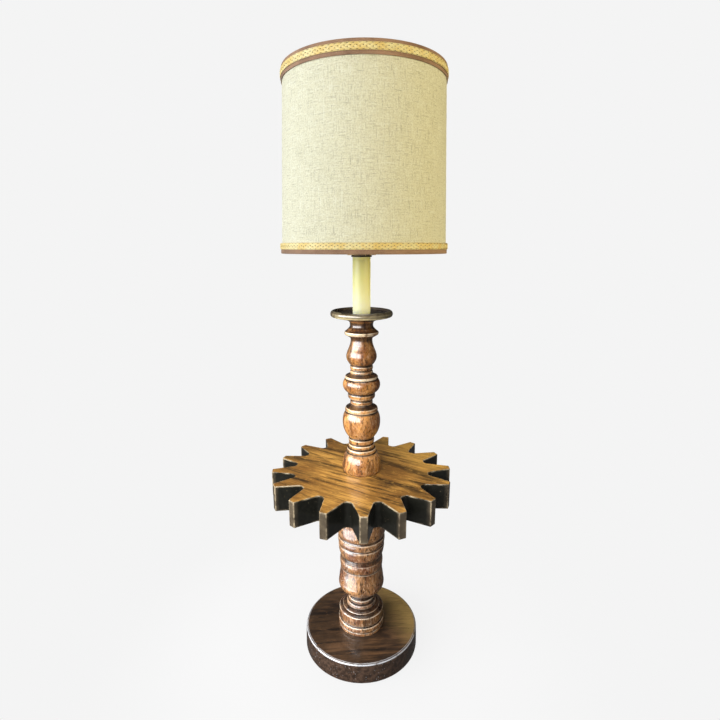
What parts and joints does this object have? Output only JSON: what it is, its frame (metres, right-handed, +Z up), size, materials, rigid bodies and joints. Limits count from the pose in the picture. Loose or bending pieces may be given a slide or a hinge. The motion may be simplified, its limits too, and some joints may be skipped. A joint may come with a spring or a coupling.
{
  "type": "floor lamp with a gear-shaped table",
  "caption": "Floor lamp with turned wood columns, a gear-shaped wood table, a candle sleeve on a drip dish and a woven drum shade carried by a harp.",
  "frame": {"origin": "on the floor, under the lamp pipe in the middle of the base", "axes": "+Z up along the lamp pipe, -Y towards the front, so that the cord inlet is at +Y"},
  "size_m": [0.4558, 0.4578, 1.4334],
  "materials": {
    "felt": "matte",
    "dark_wood": "satin lacquer",
    "column_wood": "gloss lacquer",
    "table_wood": "satin lacquer",
    "dish_wood": "gloss lacquer",
    "steel": "zinc plated",
    "brass": "satin",
    "bronze": "satin",
    "aluminium": "satin",
    "black_plastic": "satin",
    "candle_plastic": "satin",
    "board": "matte",
    "lining_sheet": "matte",
    "shade_cloth": "woven",
    "ribbon_cloth": "woven",
    "braid_cloth": "woven",
    "bulb_glass": "frosted"
  },
  "bodies": {
    "lamp": {"base_felt": "felt", "base_disc": "dark_wood", "cord_bushing": "black_plastic", "base_washer": "steel", "base_nut": "steel", "threaded_pipe": "steel", "lower_column": "column_wood", "gear_table": "table_wood", "upper_column": "column_wood", "drip_dish": "dish_wood", "dish_washer": "steel", "dish_nut": "steel", "candle_sleeve": "candle_plastic", "candle_cap": "bronze", "harp_saddle": "brass", "saddle_nut": "steel", "socket_cap": "brass", "socket_shell": "brass", "socket_insulator": "board", "socket_body": "black_plastic", "screw_shell": "aluminium", "centre_contact": "brass", "bulb_cap": "aluminium", "bulb_glass": "bulb_glass", "harp": "brass", "harp_stud": "brass", "finial": "brass"},
    "shade": {"spider_hub": "brass", "spider_arm_1": "brass", "spider_arm_2": "brass", "spider_arm_3": "brass", "top_ring": "brass", "bottom_ring": "brass", "shade_lining": "lining_sheet", "shade_fabric": "shade_cloth", "top_ribbon": "ribbon_cloth", "top_braid": "braid_cloth", "bottom_ribbon": "ribbon_cloth", "bottom_braid": "braid_cloth"},
    "switch": {"switch_shaft": "steel", "switch_knob": "black_plastic"},
    "ferrule_left": {"harp_ferrule_left": "brass"},
    "ferrule_right": {"harp_ferrule_right": "brass"}
  },
  "joints": [
    {"name": "shade_turn", "type": "hinge", "parent": "lamp", "child": "shade", "pos_m": [0.0053, 0, 1.4084], "axis": [0, 0, 1], "continuous": true},
    {"name": "switch_turn", "type": "hinge", "parent": "lamp", "child": "switch", "pos_m": [0, -0.022, 1.0808], "axis": [0, -1, 0], "continuous": true},
    {"name": "ferrule_left_lift", "type": "slide", "parent": "lamp", "child": "ferrule_left", "axis": [0, 0, 1], "range_m": [0, 0.014]},
    {"name": "ferrule_right_lift", "type": "slide", "parent": "lamp", "child": "ferrule_right", "axis": [0, 0, 1], "range_m": [0, 0.014]}
  ]
}
